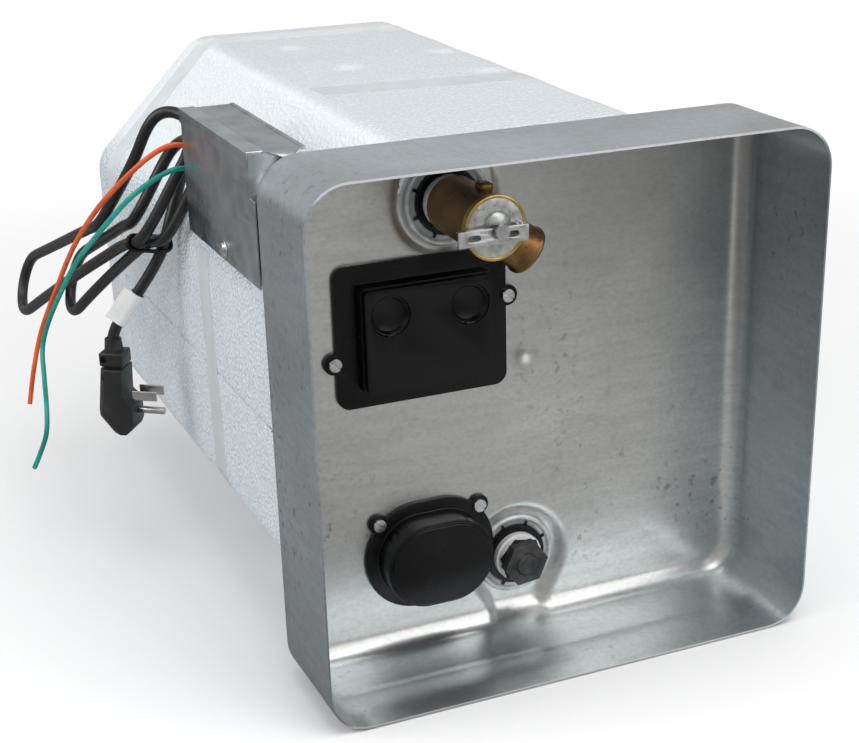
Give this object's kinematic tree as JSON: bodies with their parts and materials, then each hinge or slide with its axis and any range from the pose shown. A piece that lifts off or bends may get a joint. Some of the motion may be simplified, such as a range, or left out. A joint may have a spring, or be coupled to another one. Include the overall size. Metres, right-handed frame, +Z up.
{
  "type": "caravan electric water heater",
  "caption": "Caravan electric water heater: square sheet-metal pan with relief valve, reset cover, element cover and drain plug, foam-clad tank behind, wiring box and mains lead at the side.",
  "frame": {"origin": "floor level, below the middle of the heater without its lead", "axes": "+Z up, +Y from the pan's rim to the back, +X to the right seen from the front"},
  "size_m": [0.4215, 0.487, 0.322],
  "materials": {
    "pan_sheet": "mill-rolled sheet, smudged",
    "foam": "expanded bead foam",
    "tank_steel": "enamelled plate",
    "copper": "plain",
    "white_plastic": "plain",
    "zinc_sheet": "zinc plated",
    "bronze": "cast and turned, dulled",
    "spring_steel": "plain",
    "rubber_seal": "plain",
    "black_plastic": "fine moulded grain",
    "anode_metal": "as cast",
    "galvanised": "galvanised sheet",
    "cord_black": "satin cable jacket",
    "nickel": "plated",
    "wire_orange": "wire jacket",
    "wire_green": "wire jacket"
  },
  "bodies": {
    "heater": {"front_pan": "pan_sheet", "foam_upper": "foam", "foam_lower": "foam", "tank_shell": "tank_steel", "tank_front_head": "tank_steel", "tank_rear_head": "tank_steel", "relief_spud": "tank_steel", "drain_spud": "tank_steel", "element_spud": "tank_steel", "hot_outlet_spud": "tank_steel", "cold_inlet_spud": "tank_steel", "hot_pickup_tube": "copper", "cold_dip_tube": "white_plastic", "relief_cup": "zinc_sheet", "relief_star_ring": "black_plastic", "relief_tape": "white_plastic", "relief_body": "bronze", "relief_bonnet": "zinc_sheet", "relief_spring": "spring_steel", "relief_lever_pin": "zinc_sheet", "relief_probe": "copper", "reset_cover": "black_plastic", "thermostat": "black_plastic", "limit_switch": "black_plastic", "switch_bracket": "zinc_sheet", "reset_cover_screws": "zinc_sheet", "element_cover": "black_plastic", "element_cover_screws": "zinc_sheet", "element_gasket": "rubber_seal", "element_head": "zinc_sheet", "element_hairpin": "copper", "drain_cup": "zinc_sheet", "drain_star_ring": "black_plastic", "drain_tape": "white_plastic", "drain_plug": "black_plastic", "anode_rod": "anode_metal", "junction_box": "galvanised", "junction_box_lid": "galvanised", "junction_box_screw": "zinc_sheet", "cord_bushing": "black_plastic", "wire_grommet": "black_plastic", "power_cord_lead": "cord_black", "power_cord_hank": "cord_black", "power_cord_tail": "cord_black", "hank_tie": "black_plastic", "cord_tag": "white_plastic", "plug_body": "black_plastic", "plug_blades": "nickel", "orange_wire": "wire_orange", "green_wire": "wire_green"},
    "relief_stem": {"relief_stem": "zinc_sheet", "relief_disc": "rubber_seal"},
    "relief_lever": {"relief_lever": "zinc_sheet"},
    "button_left": {"reset_button_left": "black_plastic"},
    "button_right": {"reset_button_right": "black_plastic"}
  },
  "joints": [
    {"name": "relief_lever_hinge", "type": "hinge", "parent": "heater", "child": "relief_lever", "pos_m": [-0.031, -0.2285, 0.2795], "axis": [0, 0, 1], "range_deg": [0, 15]},
    {"name": "relief_stem_slide", "type": "slide", "parent": "heater", "child": "relief_stem", "axis": [0, -1, 0], "range_m": [0, 0.00362], "stiffness_N_per_m": 50, "deforming": ["relief_spring"]},
    {"name": "reset_button_left_press", "type": "slide", "parent": "heater", "child": "button_left", "axis": [0, 1, 0], "range_m": [0, 0.003], "stiffness_N_per_m": 200, "springref_m": -0.001},
    {"name": "reset_button_right_press", "type": "slide", "parent": "heater", "child": "button_right", "axis": [0, 1, 0], "range_m": [0, 0.003], "stiffness_N_per_m": 200, "springref_m": -0.001}
  ],
  "couplings": [
    {"joint": "relief_lever_hinge", "follows": "relief_stem_slide", "rad_per_m": 72.246}
  ]
}
